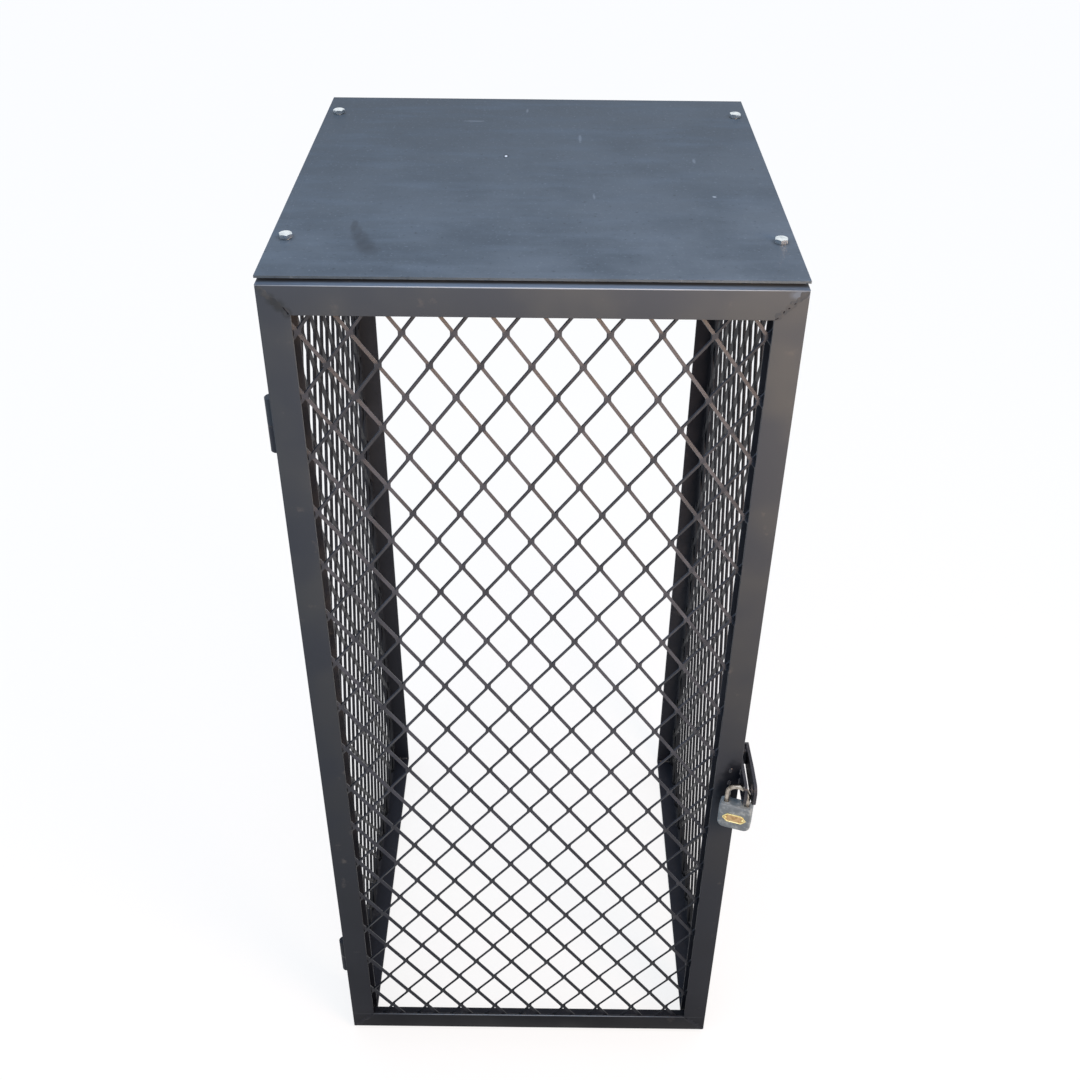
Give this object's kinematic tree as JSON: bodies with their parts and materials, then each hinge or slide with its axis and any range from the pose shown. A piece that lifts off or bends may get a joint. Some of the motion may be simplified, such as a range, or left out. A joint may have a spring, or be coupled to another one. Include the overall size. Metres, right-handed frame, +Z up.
{
  "type": "gas cylinder cage",
  "caption": "Upright steel cage for gas cylinders: angle-iron frame, expanded metal sides, flat bolted top, and a hinged mesh door with lock lugs and a small padlock.",
  "frame": {"origin": "on the floor, at the middle of the footprint box, which runs from the front edge of the lock lugs to the back lip of the top plate", "axes": "+Z up, +X towards the lock side, and -Y out through the door"},
  "size_m": [0.4439, 0.476, 0.976],
  "materials": {
    "frame_paint": "satin dark grey paint",
    "plate_paint": "semi-gloss dark grey paint",
    "mesh_paint": "satin dark grey paint over expanded metal",
    "zinc_plate": "bright zinc",
    "bright_steel": "ground steel",
    "chrome_plate": "polished plate",
    "case_enamel": "blue grey enamel",
    "brass": "lightly worn brass"
  },
  "bodies": {
    "cage_body": {"left_front_post": "frame_paint", "left_back_post": "frame_paint", "left_top_rail": "frame_paint", "left_bottom_rail": "frame_paint", "right_front_post": "frame_paint", "right_back_post": "frame_paint", "right_top_rail": "frame_paint", "right_bottom_rail": "frame_paint", "front_top_rail": "frame_paint", "back_top_rail": "frame_paint", "left_mesh": "mesh_paint", "right_mesh": "mesh_paint", "top_plate": "plate_paint", "top_bolts": "zinc_plate", "top_nuts": "zinc_plate", "body_lock_lug": "frame_paint", "body_lug_spacer": "frame_paint", "upper_hinge_body_barrel": "frame_paint", "upper_hinge_pin": "bright_steel", "upper_hinge_washer": "frame_paint", "lower_hinge_body_barrel": "frame_paint", "lower_hinge_pin": "bright_steel", "lower_hinge_washer": "frame_paint"},
    "door": {"door_top_rail": "frame_paint", "door_bottom_rail": "frame_paint", "door_hinge_stile": "frame_paint", "door_lock_stile": "frame_paint", "door_mesh": "mesh_paint", "door_lock_lug": "frame_paint", "upper_hinge_door_barrel": "frame_paint", "lower_hinge_door_barrel": "frame_paint"},
    "padlock": {"padlock_shackle": "chrome_plate", "padlock_case": "case_enamel", "padlock_badge": "brass", "padlock_rivets": "brass", "padlock_dog_spring": "bright_steel"},
    "key_plug": {"padlock_key_plug": "brass"},
    "dog": {"padlock_dog": "bright_steel"}
  },
  "joints": [
    {"name": "door_swing", "type": "hinge", "parent": "cage_body", "child": "door", "pos_m": [-0.2153, -0.1825, 0.4755], "axis": [0, 0, -1], "range_deg": [0, 180]},
    {"name": "padlock_swing", "type": "hinge", "parent": "door", "child": "padlock", "pos_m": [0.2115, -0.2255, 0.4425], "axis": [-1, 0, 0], "range_deg": [-5, 90]},
    {"name": "key_plug_turn", "type": "hinge", "parent": "padlock", "child": "key_plug", "pos_m": [0.20645, -0.2255, 0.40318], "axis": [0, 0, 1], "range_deg": [0, 90]},
    {"name": "dog_slide", "type": "slide", "parent": "padlock", "child": "dog", "axis": [0.9511, -0.309, 0], "range_m": [-0.0025, 0], "deforming": ["padlock_dog_spring"]}
  ],
  "couplings": [
    {"joint": "key_plug_turn", "follows": "dog_slide", "rad_per_m": -628.32}
  ]
}
